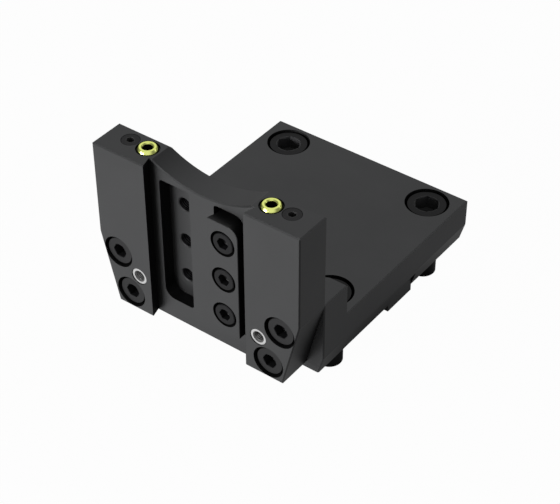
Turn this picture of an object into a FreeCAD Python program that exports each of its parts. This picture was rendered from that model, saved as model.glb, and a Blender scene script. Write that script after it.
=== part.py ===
import FreeCAD, Part
import math
import os
from FreeCAD import Rotation, Vector

# A turret tool block for a parting-off blade: a base that bolts to one station of a lathe turret, and a
# head across its front that holds the blade upright between a fixed jaw and a clamp.
# Sizes are in millimetres. X runs across the block, Y runs from the head to the back and Z runs up from
# the turret. The origin is the centre of the four mounting screws, on the face that sits on the turret.

# Channel that the blade lies in, with undercut sides for the bevelled edges of the blade
channel_width = 50.0
channel_depth = 5.2
undercut_angle = 15.0
clearance_radius = 52.0

# Head: a pillar on each side of the channel, tapered at the foot
pillar_width = 27.0
head_height = 80.0
head_thickness = 17.0
head_bottom = 3.6
taper_run = 8.4

# Base: a plate with a rib along its front, which the head is screwed to
plate_thickness = 22.5
rib_depth = 16.0
rib_height = 38.2
relief_width = 2.5
relief_height = 9.1
edge_break = 0.5

# Four mounting screws
mount_spacing_x = 76.5
mount_spacing_y = 74.0
front_to_mount_screw = 24.0
mount_screw_to_back = 12.0
mount_thread = 12.0
mount_head = 18.0
mount_hex = 10.0
mount_hex_depth = 6.0
mount_length = 26.0
mount_recess = 0.8
mount_play = 1.25

# Location key, set across the turret face in its own groove
key_width = 18.0
key_height = 11.0
key_stand_out = 4.0
key_end_gap = 0.1
key_screw_spacing = 60.0
key_thread = 6.0
key_screw_head = 10.0
key_hex = 5.0
key_hex_depth = 3.0
key_screw_length = 12.0
key_screw_recess = 0.5
key_screw_play = 0.3

# Two pockets for the clamp: one in use, the other for the opposite hand
pocket_inner_edge = 6.3
pocket_width = 15.2
pocket_depth = 11.2
pocket_above_bottom = 10.6
pocket_below_hollow = 1.6
pocket_small_radius = 1.5
pocket_large_radius = 5.0

# Clamp and its three screws
clamp_side_play = 0.1
clamp_front_recess = 0.7
clamp_bottom_gap = 1.5
clamp_top_gap = 3.5
clamp_edge_break = 0.2
clamp_screw_from_bottom = 9.3
clamp_screw_from_top = 9.7
clamp_thread = 6.0
clamp_screw_head = 10.0
clamp_hex = 5.0
clamp_hex_depth = 3.0
clamp_tip_gap = 0.3
clamp_hole_play = 0.3
hole_mouth_bevel = 0.4

# Screws that hold the head to the base, two low down on each side
head_thread = 8.0
head_screw_head = 13.0
head_hex = 6.0
head_hex_depth = 4.0
head_screw_length = 20.0
head_recess = 1.0
head_hole_play = 0.5
upper_screw_from_side = 9.85
upper_screw_below_rib = 7.2
lower_screw_from_side = 15.5
lower_screw_above_bottom = 8.1

# What the socket head screws and tapped holes share
head_room = 1.0
thread_play = 0.05
thread_bevel = 0.5
head_bevel = 0.3
tapped_extra = 1.5
drill_point_angle = 118.0

# Dowel pins, threaded inside for pulling them out
dowel_diameter = 8.0
dowel_length = 24.0
dowel_from_channel = 6.4
dowel_below_middle = 2.15
dowel_recess = 0.3
dowel_bore = 4.2
dowel_bore_depth = 9.0
dowel_bore_mouth = 5.4
dowel_bevel = 0.2
dowel_hole_extra = 0.5

# Coolant nozzles: a ball with a jet, held in the top of each pillar above a seal
nozzle_from_channel = 6.0
nozzle_from_face = 6.8
ball_diameter = 9.5
ball_below_top = 2.1
ball_flat = 3.1
ball_foot = 4.0
ball_play = 0.05
jet_diameter = 3.2
jet_mouth = 4.4
jet_mouth_depth = 3.6
jet_mouth_bevel = 0.5
lip_width = 10.2
lip_depth = 1.1
ball_seal_section = 1.5
ball_seal_gap = 0.09

# Plugs beside the nozzles, and the coolant passages
plug_from_nozzle = 9.5
plug_from_face = 6.3
plug_thread = 8.0
plug_length = 8.0
plug_hex = 3.0
plug_hex_depth = 3.5
plug_recess = 0.05
plug_bevel = 0.15
plug_hole_extra = 4.0
passage_diameter = 4.0
branch_diameter = 3.2
branch_fall = 20.0
joint_passage_above_middle = 2.0
inlet_from_rib_back = 3.4

# Flat seals round the passages, on the joint and on the turret face
face_seal_inner = 5.0
face_seal_outer = 8.0
face_seal_depth = 1.2
face_seal_bevel = 0.3
face_seal_side_gap = 0.3

# Places worked out from the sizes
over = 1.0
match = 0.01
sides = {"left": -1, "right": 1}
ends = {"front": -1, "rear": 1}
toward_back = Vector(0, 1, 0)
toward_front = Vector(0, -1, 0)
up = Vector(0, 0, 1)
down = Vector(0, 0, -1)
half_channel = channel_width / 2
half_width = half_channel + pillar_width
undercut = math.tan(math.radians(undercut_angle))
face_y = -front_to_mount_screw - mount_spacing_y / 2
rib_back_y = face_y + rib_depth
back_y = mount_spacing_y / 2 + mount_screw_to_back
front_y = face_y - head_thickness
floor_y = front_y + channel_depth
head_top = head_bottom + head_height
hollow_depth = clearance_radius - math.sqrt(clearance_radius ** 2 - half_channel ** 2)
pocket_y = front_y + pocket_depth
pocket_outer_edge = pocket_inner_edge + pocket_width
pocket_bottom = head_bottom + pocket_above_bottom
pocket_top = head_top - hollow_depth - pocket_below_hollow
clamp_y = front_y + clamp_front_recess
clamp_bottom = pocket_bottom + clamp_bottom_gap
clamp_top = pocket_top - clamp_top_gap
clamp_screw_x = (pocket_inner_edge + pocket_outer_edge) / 2
lowest_clamp_screw = clamp_bottom + clamp_screw_from_bottom
highest_clamp_screw = clamp_top - clamp_screw_from_top
middle_clamp_screw = (lowest_clamp_screw + highest_clamp_screw) / 2
clamp_screws = {"bottom": lowest_clamp_screw, "middle": middle_clamp_screw, "top": highest_clamp_screw}
clamp_screw_length = head_thickness - clamp_front_recess - clamp_thread - clamp_tip_gap
upper_screw_z = rib_height - upper_screw_below_rib
lower_screw_z = head_bottom + lower_screw_above_bottom
dowel_x = half_channel + dowel_from_channel
dowel_z = (lower_screw_z + rib_height) / 2 - dowel_below_middle
groove_top = key_height - key_stand_out
nozzle_x = half_channel + nozzle_from_channel
nozzle_y = face_y - nozzle_from_face
ball_centre_z = head_top - ball_below_top
ball_seal_radius = (ball_diameter - ball_seal_section) / 2
ball_to_seal = (ball_diameter + ball_seal_section) / 2 + ball_seal_gap
ball_seal_z = ball_centre_z - math.sqrt(ball_to_seal ** 2 - ball_seal_radius ** 2)
plug_x = nozzle_x + plug_from_nozzle
plug_y = face_y - plug_from_face
joint_passage_z = (dowel_z + rib_height) / 2 + joint_passage_above_middle
inlet_y = rib_back_y - inlet_from_rib_back


def block(x0, x1, y0, y1, z0, z1):
    return Part.makeBox(x1 - x0, y1 - y0, z1 - z0, Vector(x0, y0, z0))


def rod(diameter, length, start, direction):
    return Part.makeCylinder(diameter / 2, length, start, direction)


def prism(points, direction):
    return Part.Face(Part.makePolygon(points + points[:1])).extrude(direction)


def turned(profile, place, direction):
    # A closed outline of radius and height pairs, turned about the line through place along direction.
    outline = [Vector(radius, 0, height) for radius, height in profile]
    solid = Part.Face(Part.makePolygon(outline + outline[:1])).revolve(Vector(0, 0, 0), up, 360)
    return set_along(solid, place, direction)


def set_along(shape, place, direction):
    # Turns what was drawn along Z to run along direction, and moves it to its place.
    turn = Rotation(up, direction)
    shape.rotate(Vector(0, 0, 0), turn.Axis, math.degrees(turn.Angle))
    shape.translate(place)
    return shape


def drill_point(diameter):
    return diameter / 2 / math.tan(math.radians(drill_point_angle / 2))


def hole(diameter, depth, mouth, direction, pointed=False):
    # A drilled hole that starts just outside its mouth, with a drill point at its end where it is blind.
    cutter = rod(diameter, depth + over, mouth - direction * over, direction)
    if not pointed:
        return cutter
    end = mouth + direction * depth
    return cutter.fuse(Part.makeCone(diameter / 2, 0, drill_point(diameter), end, direction))


def mouth_bevel(diameter, size, mouth, direction):
    return Part.makeCone(diameter / 2 + size, diameter / 2, size, mouth, direction)


def hexagon_socket(across_flats, depth, mouth, direction):
    # Bevelled at its mouth out to halfway between its flats and its corners, over the drill point of its bore.
    flat = across_flats / 2
    corner = across_flats / math.sqrt(3)
    turns = [math.tau * side / 6 for side in range(6)]
    outline = [Vector(corner * math.cos(turn), corner * math.sin(turn), -over) for turn in turns]
    socket = prism(outline, up * (depth + over))
    socket = socket.fuse(mouth_bevel(across_flats, (corner - flat) / 2, Vector(0, 0, 0), up))
    socket = socket.fuse(Part.makeCone(flat, 0, drill_point(across_flats), up * depth))
    return set_along(socket, mouth, direction)


def socket_screw(thread, length, head, hex_size, hex_depth, seat, direction):
    # The head rests on seat, is as high as the thread is wide, and the thread runs along direction.
    head_radius = head / 2
    radius = thread / 2
    profile = [
        (0, length),
        (radius - thread_bevel, length),
        (radius, length - thread_bevel),
        (radius, 0),
        (head_radius, 0),
        (head_radius, head_bevel - thread),
        (head_radius - head_bevel, -thread),
        (0, -thread),
    ]
    screw = turned(profile, seat, direction)
    return screw.cut(hexagon_socket(hex_size, hex_depth, seat - direction * thread, direction))


def screw_seat(thread, head, play, seat, direction, reach):
    # The counterbore that opens away from direction, and the clearance hole past the seat.
    room = rod(head + 2 * head_room, reach, seat, -direction)
    return room.fuse(rod(thread + 2 * play, reach, seat - direction * over, direction))


def face_seal(place, direction):
    # A rubber ring squeezed flat between two faces.
    inner = face_seal_inner / 2
    outer = face_seal_outer / 2
    profile = [
        (inner, face_seal_depth / 2),
        (inner + face_seal_bevel, 0),
        (outer - face_seal_bevel, 0),
        (outer, face_seal_depth / 2),
        (outer - face_seal_bevel, face_seal_depth),
        (inner + face_seal_bevel, face_seal_depth),
    ]
    return turned(profile, place, direction)


def face_seal_groove(place, direction):
    return hole(face_seal_outer + 2 * face_seal_side_gap, face_seal_depth, place, direction)


def break_edges(shape, size, wanted):
    return shape.makeChamfer(size, [edge for edge in shape.Edges if wanted(edge)])


def round_edges(shape, radius, wanted):
    return shape.makeFillet(radius, [edge for edge in shape.Edges if wanted(edge)])


def lies_on(edge, axis, value):
    box = edge.BoundBox
    low, high = {"x": (box.XMin, box.XMax), "y": (box.YMin, box.YMax), "z": (box.ZMin, box.ZMax)}[axis]
    return abs(low - value) < match and abs(high - value) < match


def mount_screw_places():
    for end, end_sign in ends.items():
        for side, side_sign in sides.items():
            yield f"{end}_{side}", side_sign * mount_spacing_x / 2, end_sign * mount_spacing_y / 2


def head_screw_places():
    for side, sign in sides.items():
        yield f"upper_{side}", sign * (half_width - upper_screw_from_side), upper_screw_z
        yield f"lower_{side}", sign * (half_width - lower_screw_from_side), lower_screw_z


def mount_screw_seat(x, y):
    return Vector(x, y, plate_thickness - mount_thread - mount_recess)


def head_screw_seat(x, z):
    return Vector(x, front_y + head_thread + head_recess, z)


def clamp_screw_seat(z):
    return Vector(clamp_screw_x, clamp_y + clamp_thread, z)


def key_screw_seat(sign):
    return Vector(sign * key_screw_spacing / 2, 0, key_thread + key_screw_recess - key_stand_out)


def make_base():
    section = [
        Vector(-half_width, face_y, plate_thickness),
        Vector(-half_width, face_y, relief_height),
        Vector(relief_width - half_width, face_y, 0),
        Vector(half_width - relief_width, face_y, 0),
        Vector(half_width, face_y, relief_height),
        Vector(half_width, face_y, plate_thickness),
    ]
    plate = prism(section, toward_back * (back_y - face_y))
    rib = block(-half_width, half_width, face_y, rib_back_y, relief_height, rib_height)
    base = break_edges(plate.fuse(rib).removeSplitter(), edge_break, is_base_rim)
    for _, x, y in mount_screw_places():
        size = (mount_thread, mount_head, mount_play)
        base = base.cut(screw_seat(*size, mount_screw_seat(x, y), down, rib_height))
    base = base.cut(block(-half_width, half_width, -key_width / 2, key_width / 2, -over, groove_top))
    dowel_reach = dowel_length + dowel_recess - head_thickness + dowel_hole_extra
    for sign in sides.values():
        base = base.cut(key_screw_hole(sign))
        dowel_mouth = Vector(sign * dowel_x, face_y, dowel_z)
        base = base.cut(hole(dowel_diameter, dowel_reach, dowel_mouth, toward_back, pointed=True))
        base = base.cut(base_passages(sign))
    tapped_reach = head_screw_length + head_thread + head_recess - head_thickness + tapped_extra
    for _, x, z in head_screw_places():
        mouth = Vector(x, face_y, z)
        base = base.cut(hole(head_thread + 2 * thread_play, tapped_reach, mouth, toward_back))
    return base


def is_base_rim(edge):
    # The top rims of the plate and the rib, and the front corners beside the head's tapers. The edge at the
    # rib's back and the one along the joint stay sharp.
    on_plate = lies_on(edge, "z", plate_thickness) and not lies_on(edge, "y", rib_back_y)
    on_rib = lies_on(edge, "z", rib_height) and not lies_on(edge, "y", face_y)
    at_side = abs(edge.BoundBox.Center.x) > half_width - relief_width
    on_corner = lies_on(edge, "y", face_y) and at_side
    return on_plate or on_rib or on_corner


def key_screw_hole(sign):
    mouth = Vector(sign * key_screw_spacing / 2, 0, groove_top)
    reach = key_screw_seat(sign).z + key_screw_length - groove_top + tapped_extra
    return hole(key_thread + 2 * thread_play, reach, mouth, up, pointed=True)


def base_passages(sign):
    # Coolant runs up from the turret face and forward into the head, with a seal at each mouth.
    inlet = Vector(sign * nozzle_x, inlet_y, 0)
    outlet = Vector(sign * nozzle_x, face_y, joint_passage_z)
    passage = hole(passage_diameter, joint_passage_z, inlet, up)
    passage = passage.fuse(hole(passage_diameter, inlet_y - face_y, outlet, toward_back))
    passage = passage.fuse(face_seal_groove(inlet, up))
    return passage.fuse(face_seal_groove(outlet, toward_back))


def head_blank():
    # The front outline: tapered lower corners, and a round hollow in the top that clears the workpiece.
    corners = [
        Vector(half_channel, front_y, head_top),
        Vector(half_width, front_y, head_top),
        Vector(half_width, front_y, rib_height),
        Vector(half_width - taper_run, front_y, head_bottom),
        Vector(taper_run - half_width, front_y, head_bottom),
        Vector(-half_width, front_y, rib_height),
        Vector(-half_width, front_y, head_top),
        Vector(-half_channel, front_y, head_top),
    ]
    hollow_bottom = Vector(0, front_y, head_top - hollow_depth)
    hollow = Part.Arc(corners[-1], hollow_bottom, corners[0]).toShape()
    outline = Part.Wire([Part.makePolygon(corners), hollow])
    return Part.Face(outline).extrude(toward_back * head_thickness)


def channel_cutter():
    mouth = half_channel - undercut * over
    root = half_channel + undercut * channel_depth
    corners = [
        Vector(-mouth, front_y - over, head_bottom - over),
        Vector(mouth, front_y - over, head_bottom - over),
        Vector(root, floor_y, head_bottom - over),
        Vector(-root, floor_y, head_bottom - over),
    ]
    return prism(corners, up * (head_height + 2 * over))


def pocket_cutter(sign):
    # A pocket with one large corner, at the top on the right and at the bottom on the left.
    inner = sign * pocket_inner_edge
    outer = sign * pocket_outer_edge
    cutter = block(min(inner, outer), max(inner, outer), floor_y - over, pocket_y, pocket_bottom, pocket_top)
    for x in (inner, outer):
        for z in (pocket_bottom, pocket_top):
            is_large = x == outer and (z == pocket_top) == (sign > 0)
            radius = pocket_large_radius if is_large else pocket_small_radius
            cutter = round_edges(cutter, radius, lambda edge: at_corner(edge, x, z))
    return cutter


def at_corner(edge, x, z):
    return lies_on(edge, "x", x) and lies_on(edge, "z", z)


def make_head():
    head = break_edges(head_blank().cut(channel_cutter()), edge_break, is_head_rim)
    for sign in sides.values():
        head = head.cut(pocket_cutter(sign))
        for z in clamp_screws.values():
            head = head.cut(clamp_screw_hole(Vector(sign * clamp_screw_x, pocket_y, z)))
        dowel_mouth = Vector(sign * dowel_x, front_y, dowel_z)
        head = head.cut(hole(dowel_diameter, head_thickness + over, dowel_mouth, toward_back))
        head = head.cut(nozzle_seat(sign))
        head = head.cut(head_passages(sign))
    for _, x, z in head_screw_places():
        size = (head_thread, head_screw_head, head_hole_play)
        head = head.cut(screw_seat(*size, head_screw_seat(x, z), toward_back, head_thickness))
    return head


def is_head_rim(edge):
    # The outer front rims of both pillars, the outer rims of the top and the front rim of the hollow.
    beside_channel = lies_on(edge, "x", half_channel) or lies_on(edge, "x", -half_channel)
    on_front = lies_on(edge, "y", front_y) and not beside_channel
    on_side = lies_on(edge, "x", half_width) or lies_on(edge, "x", -half_width)
    on_top = lies_on(edge, "z", head_top) and (on_side or lies_on(edge, "y", face_y))
    in_hollow = edge.BoundBox.ZMin > pocket_top and lies_on(edge, "y", floor_y)
    return on_front or on_top or in_hollow


def clamp_screw_hole(mouth):
    diameter = clamp_thread + 2 * thread_play
    return hole(diameter, head_thickness, mouth, toward_back).fuse(
        mouth_bevel(diameter, hole_mouth_bevel, mouth, toward_back))


def nozzle_seat(sign):
    # A round recess, a seat that follows the ball above its middle, and a straight bore past the seal.
    seat_diameter = ball_diameter + 2 * ball_play
    centre = Vector(sign * nozzle_x, nozzle_y, ball_centre_z)
    seat = hole(lip_width, lip_depth, Vector(centre.x, centre.y, head_top), down)
    seat = seat.fuse(Part.makeSphere(seat_diameter / 2, centre))
    bore_end = ball_seal_z - ball_seal_section / 2
    return seat.fuse(rod(seat_diameter, ball_centre_z - bore_end, centre, down))


def head_passages(sign):
    # Coolant comes in at the joint, rises to the nozzle, and can be fed from the plug hole instead.
    bend = Vector(sign * nozzle_x, nozzle_y, joint_passage_z)
    joint = Vector(bend.x, face_y, bend.z)
    passages = rod(passage_diameter, ball_seal_z - bend.z, bend, up)
    passages = passages.fuse(hole(passage_diameter, nozzle_from_face, joint, toward_front))
    passages = passages.fuse(Part.makeSphere(passage_diameter / 2, bend))
    plug_mouth = Vector(sign * plug_x, plug_y, head_top)
    plug_reach = plug_recess + plug_length + plug_hole_extra
    passages = passages.fuse(hole(plug_thread + 2 * thread_play, plug_reach, plug_mouth, down, pointed=True))
    branch_start = plug_mouth + down * plug_reach
    branch_end = Vector(bend.x, bend.y, branch_start.z - branch_fall)
    branch = branch_end - branch_start
    return passages.fuse(rod(branch_diameter, branch.Length, branch_start, branch.normalize()))


def make_clamp():
    # The side toward the blade leans over it as the fixed jaw does, and the rest fits the pocket.
    root = pocket_inner_edge + undercut * (floor_y - clamp_y)
    far = pocket_outer_edge - clamp_side_play
    corners = [
        Vector(pocket_inner_edge, clamp_y, clamp_bottom),
        Vector(far, clamp_y, clamp_bottom),
        Vector(far, pocket_y, clamp_bottom),
        Vector(root, pocket_y, clamp_bottom),
        Vector(root, floor_y, clamp_bottom),
    ]
    clamp = prism(corners, up * (clamp_top - clamp_bottom))
    clamp = round_edges(clamp, pocket_large_radius, lambda edge: at_corner(edge, far, clamp_top))
    clamp = break_edges(clamp, clamp_edge_break, lambda edge: lies_on(edge, "y", clamp_y))
    for z in clamp_screws.values():
        size = (clamp_thread, clamp_screw_head, clamp_hole_play)
        clamp = clamp.cut(screw_seat(*size, clamp_screw_seat(z), toward_back, head_thickness))
    return clamp


def make_key():
    half = half_width - relief_width - key_end_gap
    key = block(-half, half, -key_width / 2, key_width / 2, -key_stand_out, groove_top)
    key = break_edges(key, edge_break, lambda edge: lies_on(edge, "z", -key_stand_out))
    for sign in sides.values():
        size = (key_thread, key_screw_head, key_screw_play)
        key = key.cut(screw_seat(*size, key_screw_seat(sign), up, key_height))
    return key


def make_dowel(sign):
    radius = dowel_diameter / 2
    bore = dowel_bore / 2
    mouth = dowel_bore_mouth / 2
    profile = [
        (0, dowel_bore_depth),
        (bore, dowel_bore_depth),
        (bore, mouth - bore),
        (mouth, 0),
        (radius - dowel_bevel, 0),
        (radius, dowel_bevel),
        (radius, dowel_length - dowel_bevel),
        (radius - dowel_bevel, dowel_length),
        (0, dowel_length),
    ]
    return turned(profile, Vector(sign * dowel_x, front_y + dowel_recess, dowel_z), toward_back)


def make_ball(sign):
    # A ball cut flat at its top and foot, with a jet that widens to a deep mouth with a bevelled rim.
    ball = Part.makeSphere(ball_diameter / 2)
    ball = ball.common(rod(ball_diameter + over, ball_flat + ball_foot, down * ball_foot, up))
    top = up * ball_flat
    ball = ball.cut(hole(jet_diameter, ball_diameter, top, down))
    ball = ball.cut(hole(jet_mouth, jet_mouth_depth, top, down, pointed=True))
    ball = ball.cut(mouth_bevel(jet_mouth, jet_mouth_bevel, top, down))
    ball.translate(Vector(sign * nozzle_x, nozzle_y, ball_centre_z))
    return ball


def make_ball_seal(sign):
    # A ring whose section is an octagon inside the seal's round.
    turns = [math.tau * (corner + 0.5) / 8 for corner in range(8)]
    half = ball_seal_section / 2
    profile = [(ball_seal_radius + half * math.cos(turn), half * math.sin(turn)) for turn in turns]
    return turned(profile, Vector(sign * nozzle_x, nozzle_y, ball_seal_z), up)


def make_plug(sign):
    radius = plug_thread / 2
    profile = [
        (0, 0),
        (radius - plug_bevel, 0),
        (radius, plug_bevel),
        (radius, plug_length - thread_bevel),
        (radius - thread_bevel, plug_length),
        (0, plug_length),
    ]
    place = Vector(sign * plug_x, plug_y, head_top - plug_recess)
    return turned(profile, place, down).cut(hexagon_socket(plug_hex, plug_hex_depth, place, down))


parts = {"base_block": make_base(), "tool_head": make_head()}
parts["clamp_wedge"] = make_clamp()
parts["location_key"] = make_key()
for name, z in clamp_screws.items():
    size = (clamp_thread, clamp_screw_length, clamp_screw_head, clamp_hex, clamp_hex_depth)
    parts[f"clamp_screw_{name}"] = socket_screw(*size, clamp_screw_seat(z), toward_back)
for name, x, z in head_screw_places():
    size = (head_thread, head_screw_length, head_screw_head, head_hex, head_hex_depth)
    parts[f"head_screw_{name}"] = socket_screw(*size, head_screw_seat(x, z), toward_back)
for name, x, y in mount_screw_places():
    size = (mount_thread, mount_length, mount_head, mount_hex, mount_hex_depth)
    parts[f"mount_screw_{name}"] = socket_screw(*size, mount_screw_seat(x, y), down)
for side, sign in sides.items():
    size = (key_thread, key_screw_length, key_screw_head, key_hex, key_hex_depth)
    parts[f"key_screw_{side}"] = socket_screw(*size, key_screw_seat(sign), up)
    parts[f"dowel_{side}"] = make_dowel(sign)
    parts[f"nozzle_ball_{side}"] = make_ball(sign)
    parts[f"nozzle_seal_{side}"] = make_ball_seal(sign)
    parts[f"coolant_plug_{side}"] = make_plug(sign)
    parts[f"joint_seal_{side}"] = face_seal(Vector(sign * nozzle_x, face_y, joint_passage_z), toward_back)
    parts[f"inlet_seal_{side}"] = face_seal(Vector(sign * nozzle_x, inlet_y, 0), up)

os.makedirs("parts", exist_ok=True)
for name, shape in parts.items():
    shape.exportStep(f"parts/{name}.step")
    print(name, "solids", len(shape.Solids), "valid", shape.isValid(), "volume", round(shape.Volume, 1))
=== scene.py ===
import math
import bpy
import numpy as np
from mathutils import Matrix, Vector


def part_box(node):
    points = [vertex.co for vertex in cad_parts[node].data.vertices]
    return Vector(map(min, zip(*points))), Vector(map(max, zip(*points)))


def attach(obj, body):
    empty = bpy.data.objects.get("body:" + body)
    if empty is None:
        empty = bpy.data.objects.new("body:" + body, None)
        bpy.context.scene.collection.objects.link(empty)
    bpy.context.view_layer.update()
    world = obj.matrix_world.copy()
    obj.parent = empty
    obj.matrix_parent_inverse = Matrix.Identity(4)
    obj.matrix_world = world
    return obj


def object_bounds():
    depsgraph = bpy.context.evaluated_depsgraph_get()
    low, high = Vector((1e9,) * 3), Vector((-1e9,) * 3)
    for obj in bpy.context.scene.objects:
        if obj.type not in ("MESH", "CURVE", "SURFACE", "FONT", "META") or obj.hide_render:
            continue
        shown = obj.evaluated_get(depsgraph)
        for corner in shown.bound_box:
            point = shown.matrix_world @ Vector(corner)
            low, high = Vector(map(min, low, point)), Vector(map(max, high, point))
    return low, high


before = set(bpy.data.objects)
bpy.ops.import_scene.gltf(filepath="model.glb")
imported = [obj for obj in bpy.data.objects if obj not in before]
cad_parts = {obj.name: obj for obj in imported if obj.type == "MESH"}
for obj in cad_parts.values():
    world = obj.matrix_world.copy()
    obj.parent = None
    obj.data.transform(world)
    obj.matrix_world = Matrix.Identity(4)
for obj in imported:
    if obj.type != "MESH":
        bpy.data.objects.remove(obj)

# Turret tool block for a parting-off blade, in blackened ground steel with brass ball nozzles and bright
# dowels. The solids keep their own shapes and get their finishes here, and cut threads are added inside the
# holes that show them. Metres throughout, X across the block, Y to the back, Z up from the turret.
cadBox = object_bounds()
scene = bpy.context.scene


# Node helpers

def addNode(tree, kind, settings=None, inputs=None):
    node = tree.nodes.new(kind)
    for name, value in (settings or {}).items():
        setattr(node, name, value)
    for name, value in (inputs or {}).items():
        if isinstance(value, bpy.types.NodeSocket):
            tree.links.new(value, node.inputs[name])
        else:
            node.inputs[name].default_value = value
    return node


def calculate(tree, operation, first, second=0.0, third=0.0, clamp=False):
    values = {0: first, 1: second, 2: third}
    return addNode(tree, "ShaderNodeMath", {"operation": operation, "use_clamp": clamp}, values).outputs[0]


def blendColor(tree, factor, first, second):
    # Sockets 6 and 7 are the two colours of a Mix node, and output 2 is their blend.
    values = {"Factor": factor, 6: first, 7: second}
    return addNode(tree, "ShaderNodeMix", {"data_type": "RGBA"}, values).outputs[2]


def blendNumber(tree, factor, first, second):
    return addNode(tree, "ShaderNodeMix", inputs={"Factor": factor, "A": first, "B": second}).outputs[0]


def newGroup(name, inputs, outputs):
    group = bpy.data.node_groups.new(name, "ShaderNodeTree")
    for label, (kind, value) in inputs.items():
        group.interface.new_socket(label, in_out="INPUT", socket_type=kind).default_value = value
    for label, kind in outputs.items():
        group.interface.new_socket(label, in_out="OUTPUT", socket_type=kind)
    source = group.nodes.new("NodeGroupInput")
    result = group.nodes.new("NodeGroupOutput")
    return group, source.outputs, result.inputs


def useGroup(tree, group, values):
    return addNode(tree, "ShaderNodeGroup", {"node_tree": group}, values).outputs


number = "NodeSocketFloat"
triple = "NodeSocketVector"


# Effects that several finishes share

def makeEdgeMask():
    # 1 on edges and corners, 0 on flats: how far the normal rounded over the radius leans from the true one.
    group, given, result = newGroup(
        "edgeMask", {"Radius": (number, 0.0003), "Strength": (number, 4.0)}, {"Mask": number})
    rounded = addNode(group, "ShaderNodeBevel", {"samples": 6}, {"Radius": given["Radius"]})
    true = addNode(group, "ShaderNodeNewGeometry")
    lean = addNode(group, "ShaderNodeVectorMath", {"operation": "DOT_PRODUCT"},
                   {0: rounded.outputs["Normal"], 1: true.outputs["Normal"]})
    away = calculate(group, "SUBTRACT", 1.0, lean.outputs["Value"])
    mask = calculate(group, "MULTIPLY", away, given["Strength"], clamp=True)
    group.links.new(mask, result["Mask"])
    return group


def makeGroundLines():
    # Fine lines left by grinding: noise squeezed across the lines and drawn out along them.
    group, given, result = newGroup(
        "groundLines",
        {"Vector": (triple, (0, 0, 0)), "Fine": (number, 9000.0), "Stretch": (number, 0.012)},
        {"Lines": number})
    drawn = addNode(group, "ShaderNodeCombineXYZ", inputs={0: given["Stretch"], 1: 1.0, 2: 1.0})
    along = addNode(group, "ShaderNodeVectorMath", {"operation": "MULTIPLY"},
                    {0: given["Vector"], 1: drawn.outputs[0]})
    lines = addNode(group, "ShaderNodeTexNoise", inputs={
        "Vector": along.outputs[0], "Scale": given["Fine"], "Detail": 3.0, "Roughness": 0.6})
    group.links.new(lines.outputs["Fac"], result["Lines"])
    return group


def makeOxideBloom():
    # Soft clouds that an oxide bath leaves, and pinhead specks: 1 near a cell's centre, 0 beyond Speck Size.
    group, given, result = newGroup(
        "oxideBloom",
        {"Vector": (triple, (0, 0, 0)), "Cloud Scale": (number, 45.0), "Speck Scale": (number, 1500.0),
         "Speck Size": (number, 0.22), "Speck Edge": (number, 5.0)},
        {"Clouds": number, "Specks": number})
    clouds = addNode(group, "ShaderNodeTexNoise", inputs={
        "Vector": given["Vector"], "Scale": given["Cloud Scale"], "Detail": 5.0, "Roughness": 0.55})
    specks = addNode(group, "ShaderNodeTexVoronoi", inputs={
        "Vector": given["Vector"], "Scale": given["Speck Scale"], "Randomness": 1.0})
    near = calculate(group, "SUBTRACT", given["Speck Size"], specks.outputs["Distance"])
    group.links.new(clouds.outputs["Fac"], result["Clouds"])
    group.links.new(calculate(group, "MULTIPLY", near, given["Speck Edge"], clamp=True), result["Specks"])
    return group


def makeTurnedRings():
    # Fine rings about an axis, as a lathe leaves them: noise over the distance from the axis alone. Inside is
    # 1 nearer the axis than Bore, where a socket or a bore is.
    group, given, result = newGroup(
        "turnedRings",
        {"Vector": (triple, (0, 0, 0)), "Fine": (number, 5000.0), "Bore": (number, 0.0)},
        {"Rings": number, "Inside": number})
    flat = addNode(group, "ShaderNodeVectorMath", {"operation": "MULTIPLY"},
                   {0: given["Vector"], 1: (1.0, 1.0, 0.0)})
    radius = addNode(group, "ShaderNodeVectorMath", {"operation": "LENGTH"}, {0: flat.outputs[0]})
    rings = addNode(group, "ShaderNodeTexNoise", {"noise_dimensions": "1D"}, {
        "W": radius.outputs["Value"], "Scale": given["Fine"], "Detail": 3.0, "Roughness": 0.6})
    group.links.new(rings.outputs["Fac"], result["Rings"])
    group.links.new(calculate(group, "LESS_THAN", radius.outputs["Value"], given["Bore"]), result["Inside"])
    return group


edgeMask = makeEdgeMask()
groundLines = makeGroundLines()
oxideBloom = makeOxideBloom()
turnedRings = makeTurnedRings()
print("shared effects:", len(bpy.data.node_groups))


# Finishes

def newMaterial(name):
    material = bpy.data.materials.new(name)
    material.use_nodes = True
    tree = material.node_tree
    tree.nodes.clear()
    shader = tree.nodes.new("ShaderNodeBsdfPrincipled")
    output = tree.nodes.new("ShaderNodeOutputMaterial")
    tree.links.new(shader.outputs["BSDF"], output.inputs["Surface"])
    return material, tree, shader


def placedVector(tree, centre=(0, 0, 0), turn=(0, 0, 0), size=(1, 1, 1)):
    # Object coordinates measured from centre, along axes turned by turn, in units of size.
    place = addNode(tree, "ShaderNodeTexCoord").outputs["Object"]
    return addNode(tree, "ShaderNodeMapping", {"vector_type": "TEXTURE"}, {
        "Vector": place, "Location": centre, "Rotation": turn, "Scale": size}).outputs["Vector"]


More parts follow.
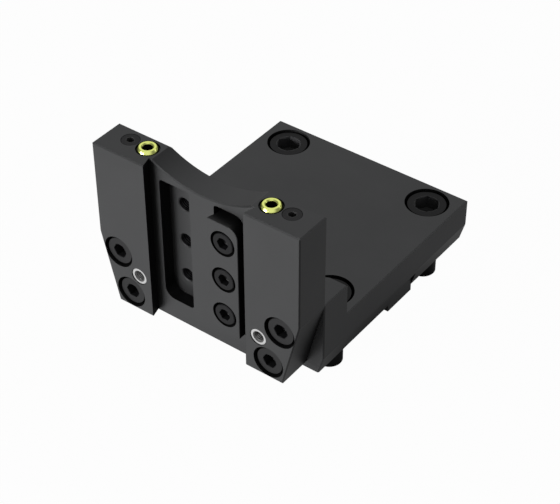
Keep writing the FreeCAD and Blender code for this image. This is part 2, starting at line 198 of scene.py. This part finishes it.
def steelFinish(name, look, centre=(0, 0, 0), turn=(0, 0, 0)):
    material, tree, shader = newMaterial(name)
    place = placedVector(tree, centre, turn)
    bloom = useGroup(tree, oxideBloom, {"Vector": place})
    edges = useGroup(tree, edgeMask, {"Radius": look["edgeRadius"]})
    color = blendColor(tree, bloom["Clouds"], look["dark"] + (1,), look["light"] + (1,))
    if look["turned"]:
        turned = useGroup(tree, turnedRings, {"Vector": place, "Fine": look["fine"], "Bore": look["bore"]})
        lines = turned["Rings"]
        # Sockets and bores get a matt colour of their own within the bore: painted shade inside them.
        color = blendColor(tree, turned["Inside"], color, look["inside"] + (1,))
        tree.links.new(calculate(tree, "SUBTRACT", 1.0, turned["Inside"]), shader.inputs["Metallic"])
    else:
        lines = useGroup(tree, groundLines, {"Vector": place, "Fine": look["fine"]})["Lines"]
        shader.inputs["Metallic"].default_value = 1.0
    # Edges and corners are painted darker: a painted shade line along them.
    edgeShading = calculate(tree, "MULTIPLY", edges["Mask"], look["edgeShade"])
    color = blendColor(tree, edgeShading, color, look["edge"] + (1,))
    # Where another surface mirrors this one its colour is painted darker: a painted shade that keeps hollows
    # dark.
    mirrored = addNode(tree, "ShaderNodeLightPath").outputs["Is Glossy Ray"]
    color = blendColor(tree, calculate(tree, "MULTIPLY", mirrored, look["dimmed"]), color, (0, 0, 0, 1))
    rough = calculate(tree, "MULTIPLY_ADD", lines, look["roughSpread"], look["rough"])
    rough = calculate(tree, "MULTIPLY_ADD", bloom["Specks"], steelSurface["speckRough"], rough)
    bump = addNode(tree, "ShaderNodeBump", inputs={
        "Strength": look["bump"], "Distance": steelSurface["lineDepth"], "Height": lines})
    tree.links.new(color, shader.inputs["Base Color"])
    tree.links.new(rough, shader.inputs["Roughness"])
    tree.links.new(bump.outputs["Normal"], shader.inputs["Normal"])
    shader.inputs["Specular IOR Level"].default_value = steelSurface["insideShine"]
    shader.inputs["Specular Tint"].default_value = look["grazing"] + (1,)
    return material


# All steels and the brass: the roughness of a speck, the depth of a line, and the shine inside sockets.
steelSurface = {"speckRough": 0.06, "lineDepth": 0.00001, "insideShine": 0.1}
# Dark and light are the clouded colour. Edge is the colour of a painted shade line along edges and corners,
# with a strength of its own. Inside is the matt colour within bore of the axis, a painted shade in sockets
# and bores. Dimmed is how far the surface darkens where another one mirrors it, a painted shade that keeps
# hollows dark in reflections, and grazing is the tint of what it mirrors edge on.
blockLook = {
    "dark": (0.060, 0.0606, 0.062), "light": (0.070, 0.0707, 0.072), "edge": (0.012, 0.012, 0.012),
    "rough": 0.38, "roughSpread": 0.08, "bump": 0.25, "fine": 9000.0, "edgeRadius": 0.00025,
    "edgeShade": 0.7, "dimmed": 0.85, "grazing": (0.78, 0.78, 0.78), "turned": False,
}
clampLook = blockLook | {"fine": 11000.0}
keyLook = blockLook | {"rough": 0.42}
screwLook = {
    "dark": (0.0165, 0.0165, 0.017), "light": (0.0205, 0.0205, 0.021), "edge": (0.005, 0.005, 0.005),
    "inside": (0.050, 0.050, 0.052), "bore": 0.0, "rough": 0.28, "roughSpread": 0.12, "bump": 0.35,
    "fine": 5200.0, "edgeRadius": 0.00020, "edgeShade": 0.5, "dimmed": 0.6, "grazing": (0.78, 0.78, 0.78),
    "turned": True,
}
headScrewLook = screwLook | {
    "dark": (0.034, 0.034, 0.035), "light": (0.041, 0.041, 0.042), "inside": (0.013, 0.013, 0.014),
}
clampScrewLook = headScrewLook | {"dark": (0.022, 0.022, 0.023), "light": (0.027, 0.027, 0.028)}
plugLook = screwLook | {
    "dark": (0.031, 0.031, 0.032), "light": (0.036, 0.036, 0.037), "edge": (0.030, 0.030, 0.031),
    "inside": (0.050, 0.050, 0.051), "bore": 0.0020, "rough": 0.40,
}
dowelLook = {
    "dark": (0.54, 0.54, 0.54), "light": (0.62, 0.62, 0.62), "edge": (0.01, 0.01, 0.01),
    "inside": (0.08, 0.08, 0.08), "bore": 0.00275, "rough": 0.24, "roughSpread": 0.10, "bump": 0.20,
    "fine": 6500.0, "edgeRadius": 0.00040, "edgeShade": 1.0, "dimmed": 0.2, "grazing": (1.0, 1.0, 1.0),
    "turned": True,
}
# The threads are coloured darker than the steel around them: painted shade inside the holes.
threadLook = screwLook | {"dark": (0.011, 0.011, 0.012), "light": (0.016, 0.016, 0.017), "rough": 0.30}
pullThreadLook = threadLook | {"dark": (0.15, 0.15, 0.15), "light": (0.21, 0.21, 0.21)}
brassLook = {
    "dark": (0.78, 0.86, 0.20), "light": (0.92, 0.98, 0.34), "edge": (0.40, 0.43, 0.10),
    "inside": (0.010, 0.008, 0.004), "bore": 0.00225, "rough": 0.20, "roughSpread": 0.08, "bump": 0.20,
    "fine": 6500.0, "edgeRadius": 0.00025, "edgeShade": 0.6, "dimmed": 0.3, "grazing": (1.0, 1.0, 0.6),
    "turned": True,
}
sealLook = {
    "dark": (0.012, 0.012, 0.012), "light": (0.020, 0.020, 0.021), "clouds": 400.0, "specks": 4000.0,
    "rough": 0.62, "speckRough": 0.12, "bump": 0.4, "depth": 0.00002,
}


def sealFinish(name, look):
    material, tree, shader = newMaterial(name)
    place = placedVector(tree)
    bloom = useGroup(tree, oxideBloom, {
        "Vector": place, "Cloud Scale": look["clouds"], "Speck Scale": look["specks"]})
    color = blendColor(tree, bloom["Clouds"], look["dark"] + (1,), look["light"] + (1,))
    bump = addNode(tree, "ShaderNodeBump", inputs={
        "Strength": look["bump"], "Distance": look["depth"], "Height": bloom["Clouds"]})
    rough = calculate(tree, "MULTIPLY_ADD", bloom["Specks"], look["speckRough"], look["rough"])
    tree.links.new(color, shader.inputs["Base Color"])
    tree.links.new(rough, shader.inputs["Roughness"])
    tree.links.new(bump.outputs["Normal"], shader.inputs["Normal"])
    return material


def dress(node, material):
    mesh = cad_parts[node].data
    mesh.materials.clear()
    mesh.materials.append(material)


def middle(node):
    low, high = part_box(node)
    return tuple((Vector(low) + Vector(high)) / 2)


alongY = (math.pi / 2, 0, 0)
screwLooks = {
    "head_screw": headScrewLook | {"bore": 0.0035}, "clamp_screw": clampScrewLook | {"bore": 0.0029},
    "mount_screw": screwLook | {"bore": 0.0058}, "key_screw": screwLook | {"bore": 0.0029},
}
blockSteel = steelFinish("blockSteel", blockLook)
for name in ("base_block", "tool_head"):
    dress(name, blockSteel)
dress("clamp_wedge", steelFinish("clampSteel", clampLook, turn=(0, math.pi / 2, 0)))
dress("location_key", steelFinish("keySteel", keyLook))
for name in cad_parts:
    centre = middle(name)
    kind = "_".join(name.split("_")[:2])
    if kind in screwLooks:
        turn = alongY if kind in ("head_screw", "clamp_screw") else (0, 0, 0)
        dress(name, steelFinish(name + "Steel", screwLooks[kind], centre, turn))
    elif name.startswith("coolant_plug"):
        dress(name, steelFinish(name + "Steel", plugLook, centre))
    elif name.startswith("dowel"):
        dress(name, steelFinish(name + "Steel", dowelLook, centre, alongY))
    elif name.startswith("nozzle_ball"):
        dress(name, steelFinish(name + "Brass", brassLook, centre))
    elif "seal" in name:
        dress(name, sealFinish(name + "Rubber", sealLook))
print("finishes:", len(bpy.data.materials))


# Cut threads inside the spare clamp holes and the dowels

def addPiece(name, points, faces, body, material):
    mesh = bpy.data.meshes.new(name)
    mesh.from_pydata(points.tolist(), [], faces.tolist())
    mesh.materials.append(material)
    mesh.shade_smooth()
    piece = bpy.data.objects.new(name, mesh)
    scene.collection.objects.link(piece)
    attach(piece, body)


def threadPoints(mouth, inset, length, outer, wall, depth, pitch, around=72, rowsPerTurn=14):
    # A tube that runs back from inset behind mouth. Its inner radius is outer less the wall, less depth times
    # a triangle wave of the distance along less the turn's share of the pitch. The wave is flattened over
    # half a pitch at both ends.
    rows = int(length / pitch * rowsPerTurn) + 1
    angle, along = np.meshgrid(np.arange(around) * 2 * np.pi / around, np.linspace(0, length, rows))
    phase = (along / pitch - angle / (2 * np.pi)) % 1
    fade = np.clip(np.minimum(along, length - along) / (pitch / 2), 0, 1)
    inner = outer - wall - depth * fade * (1 - np.abs(2 * phase - 1))
    radius = np.concatenate([inner, np.full_like(inner, outer)[::-1]])
    along = np.concatenate([along, along[::-1]])
    angle = np.concatenate([angle, angle])
    across = mouth[0] + radius * np.cos(angle)
    back = mouth[1] + inset + along
    upward = mouth[2] + radius * np.sin(angle)
    return np.stack([across, back, upward], axis=-1).reshape(-1, 3), ringFaces(2 * rows, around)


def ringFaces(rows, around):
    # Quads of a grid that closes on itself both ways.
    index = np.arange(rows * around).reshape(rows, around)
    beyond = np.roll(index, -1, axis=0)
    corners = [index, np.roll(index, -1, axis=1), np.roll(beyond, -1, axis=1), beyond]
    return np.stack(corners, axis=-1).reshape(-1, 4)


threads = {
    "spare": {"inset": 0.00045, "length": 0.0053, "outer": 0.00304, "wall": 0.00004, "depth": 0.00046,
              "pitch": 0.001},
    "pull": {"inset": 0.00062, "length": 0.0055, "outer": 0.00209, "wall": 0.00003, "depth": 0.00034,
             "pitch": 0.0008},
}
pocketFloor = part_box("clamp_wedge")[1][1]
threadSteel = steelFinish("threadSteel", threadLook, turn=alongY)
pullSteel = steelFinish("pullThreadSteel", pullThreadLook, turn=alongY)
for name in ("bottom", "middle", "top"):
    screw = middle(f"clamp_screw_{name}")
    mouth = (-screw[0], pocketFloor, screw[2])
    addPiece(f"spare_thread_{name}", *threadPoints(mouth, **threads["spare"]), "block", threadSteel)
for side in ("left", "right"):
    pin = middle(f"dowel_{side}")
    mouth = (pin[0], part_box(f"dowel_{side}")[0][1], pin[2])
    addPiece(f"pull_thread_{side}", *threadPoints(mouth, **threads["pull"]), "block", pullSteel)
print("threads: three spare holes and two dowels")


# Floor, world and lamps

floorLook = {"half": 3.0, "gap": 0.00002, "tone": 0.60, "rough": 0.9, "glow": 0.975, "shine": 0.42}
# How bright the floor is in reflections, painted into its glow: painted pools of light in front and behind, a
# painted dark patch on the right, and a painted shadow of the block under it. Each fades from one share of
# its reach to the other.
floorPatches = [
    {"middle": (-0.13, 0.12), "reach": (0.16, 0.14), "from": 0.7, "to": 1.15, "shine": 0.90},
    {"middle": (-0.042, -0.15), "reach": (0.138, 0.10), "from": 0.8, "to": 1.4, "shine": 0.98},
    {"middle": (0.125, -0.13), "reach": (0.11, 0.11), "from": 0.5, "to": 1.0, "shine": 0.18},
    {"middle": (0.0, -0.003), "reach": (0.062, 0.078), "from": 0.7, "to": 1.25, "shine": 0.04},
]
# In reflections the sky is dim but for two bright cards, behind on the left and in front on the right. Each
# fades between two cosines of the angle from its middle. Fill is what lights matt surfaces.
sky = {
    "dim": 0.24, "fill": 0.24, "cards": ((-0.55, 0.55, 0.63), (0.52, -0.69, 0.50)), "bright": 0.83,
    "rim": 0.62, "core": 0.98,
}
lamps = {
    "keyLamp": {"place": (-0.78, -1.83, 0.12), "aim": (-0.02, -0.08, 0.04), "size": 0.90, "power": 11.6,
                "spread": 60.0},
    "rimLamp": {"place": (0.46, 0.44, 0.33), "aim": (0.03, 0.0, 0.02), "size": 0.25, "power": 0.21,
                "spread": 180.0},
}


def patchMask(tree, patch):
    # 1 inside an ellipse on the floor, falling to 0 over its soft border.
    where = placedVector(tree, patch["middle"] + (0,), size=patch["reach"] + (1,))
    flat = addNode(tree, "ShaderNodeVectorMath", {"operation": "MULTIPLY"}, {0: where, 1: (1, 1, 0)})
    out = addNode(tree, "ShaderNodeVectorMath", {"operation": "LENGTH"}, {0: flat.outputs[0]})
    return addNode(tree, "ShaderNodeMapRange", {"interpolation_type": "SMOOTHSTEP"}, {
        "Value": out.outputs["Value"], "From Min": patch["from"], "From Max": patch["to"],
        "To Min": 1.0, "To Max": 0.0}).outputs[0]


def makeFloor():
    half = floorLook["half"]
    height = cadBox[0][2] - floorLook["gap"]
    corners = [(-half, -half, height), (half, -half, height), (half, half, height), (-half, half, height)]
    mesh = bpy.data.meshes.new("floor")
    mesh.from_pydata(corners, [], [(0, 1, 2, 3)])
    floor = bpy.data.objects.new("floor", mesh)
    scene.collection.objects.link(floor)
    material, tree, shader = newMaterial("floorPaint")
    tone = floorLook["tone"]
    shader.inputs["Base Color"].default_value = (tone, tone, tone, 1)
    shader.inputs["Roughness"].default_value = floorLook["rough"]
    shader.inputs["Specular IOR Level"].default_value = 0.0
    path = addNode(tree, "ShaderNodeLightPath").outputs
    seen = calculate(tree, "MAXIMUM", path["Is Camera Ray"], path["Is Transmission Ray"])
    share = calculate(tree, "MULTIPLY_ADD", seen, floorLook["glow"], path["Is Glossy Ray"])
    shine = floorLook["shine"]
    # Painted light and painted shadow in the floor's glow, seen only in reflections.
    for patch in floorPatches:
        shine = blendNumber(tree, patchMask(tree, patch), shine, patch["shine"])
    level = blendNumber(tree, path["Is Glossy Ray"], 1.0, shine)
    glow = addNode(tree, "ShaderNodeEmission", inputs={"Color": (1, 1, 1, 1), "Strength": level})
    both = addNode(tree, "ShaderNodeMixShader", inputs={0: share, 1: shader.outputs[0], 2: glow.outputs[0]})
    output = next(node for node in tree.nodes if node.type == "OUTPUT_MATERIAL")
    tree.links.new(both.outputs[0], output.inputs["Surface"])
    mesh.materials.append(material)


def makeWorld():
    world = bpy.data.worlds.new("studio")
    scene.world = world
    world.use_nodes = True
    tree = world.node_tree
    tree.nodes.clear()
    path = addNode(tree, "ShaderNodeLightPath").outputs
    toward = addNode(tree, "ShaderNodeTexCoord").outputs["Generated"]
    level = sky["dim"]
    for card in sky["cards"]:
        facing = addNode(tree, "ShaderNodeVectorMath", {"operation": "DOT_PRODUCT"}, {0: toward, 1: card})
        share = addNode(tree, "ShaderNodeMapRange", {"interpolation_type": "SMOOTHSTEP"}, {
            "Value": facing.outputs["Value"], "From Min": sky["rim"], "From Max": sky["core"]})
        level = blendNumber(tree, share.outputs[0], level, sky["bright"])
    level = blendNumber(tree, path["Is Diffuse Ray"], level, sky["fill"])
    seen = calculate(tree, "MAXIMUM", path["Is Camera Ray"], path["Is Transmission Ray"])
    level = blendNumber(tree, seen, level, 1.0)
    background = addNode(tree, "ShaderNodeBackground", inputs={"Color": (1, 1, 1, 1), "Strength": level})
    output = addNode(tree, "ShaderNodeOutputWorld")
    tree.links.new(background.outputs[0], output.inputs["Surface"])


def makeLamp(name, lamp):
    light = bpy.data.lights.new(name, "AREA")
    light.shape = "SQUARE"
    light.size = lamp["size"]
    light.energy = lamp["power"]
    light.spread = math.radians(lamp["spread"])
    holder = bpy.data.objects.new(name, light)
    holder.location = lamp["place"]
    holder.rotation_euler = (Vector(lamp["place"]) - Vector(lamp["aim"])).to_track_quat("Z", "Y").to_euler()
    scene.collection.objects.link(holder)


makeFloor()
makeWorld()
for name, lamp in lamps.items():
    makeLamp(name, lamp)
print("studio: floor, world and", len(lamps), "lamps")


# Camera

view = {
    "azimuth": 36.823, "elevation": 39.872, "roll": -0.157, "lens": 103.725, "sensor": 36.0,
    "aim": (0.01057, -0.03517, 0.02842), "distance": 0.682188, "nearest": 0.01, "farthest": 20.0,
}


def makeCamera():
    # Back runs from the aim point to the camera, across and over are the picture's right and up, rolled.
    azimuth, elevation, roll = (math.radians(view[name]) for name in ("azimuth", "elevation", "roll"))
    back = Vector((math.sin(azimuth) * math.cos(elevation), -math.cos(azimuth) * math.cos(elevation),
                   math.sin(elevation)))
    right = Vector((math.cos(azimuth), math.sin(azimuth), 0))
    upward = back.cross(right)
    across = right * math.cos(roll) + upward * math.sin(roll)
    over = upward * math.cos(roll) - right * math.sin(roll)
    place = Vector(view["aim"]) + back * view["distance"]
    data = bpy.data.cameras.new("camera")
    data.sensor_fit = "HORIZONTAL"
    data.sensor_width = view["sensor"]
    data.lens = view["lens"]
    data.clip_start = view["nearest"]
    data.clip_end = view["farthest"]
    camera = bpy.data.objects.new("camera", data)
    turn = Matrix((across, over, back)).transposed()
    camera.matrix_world = Matrix.Translation(place) @ turn.to_4x4()
    scene.collection.objects.link(camera)
    scene.camera = camera


makeCamera()
scene.view_settings.view_transform = "Standard"
print("camera set")
